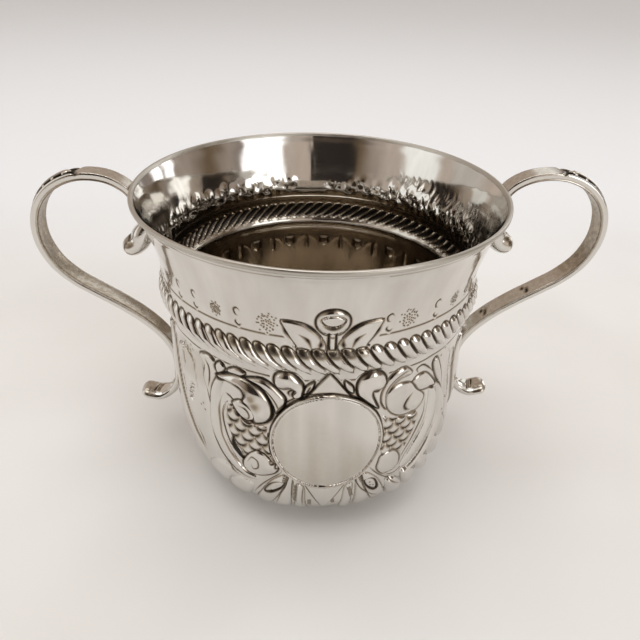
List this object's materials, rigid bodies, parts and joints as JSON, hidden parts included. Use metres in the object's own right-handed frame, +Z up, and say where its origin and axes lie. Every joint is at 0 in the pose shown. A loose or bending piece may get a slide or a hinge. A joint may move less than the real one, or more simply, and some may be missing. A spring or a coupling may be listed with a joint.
{
  "type": "two-handled porringer",
  "caption": "Deep two-handled silver cup with a flared lip, rope girdle, spiral lobes and flutes, a plain oval cartouche and S-scroll handles, on a low ring foot.",
  "frame": {"origin": "middle of the plane that the ring foot stands on, on the bowl's axis", "axes": "+Z up the bowl's axis, -Y out through the cartouche at the front, +X and -X out through the handles"},
  "size_m": [0.1698, 0.104, 0.1039],
  "materials": {
    "bowl_silver": "polished silver, raised and chased, with dark oxide in the recesses",
    "rim_silver": "polished drawn silver wire",
    "foot_silver": "polished silver, worn satin where it stands",
    "handle_silver": "cast and filed silver, polished outside, slightly pitted inside",
    "rat_tail_silver": "polished silver beading with dark oxide beside it"
  },
  "bodies": {
    "root": {"bowl": "bowl_silver", "rim_wire": "rim_silver", "foot_ring": "foot_silver", "handle_left": "handle_silver", "handle_right": "handle_silver", "rat_tail_left": "rat_tail_silver", "rat_tail_right": "rat_tail_silver"}
  },
  "joints": []
}
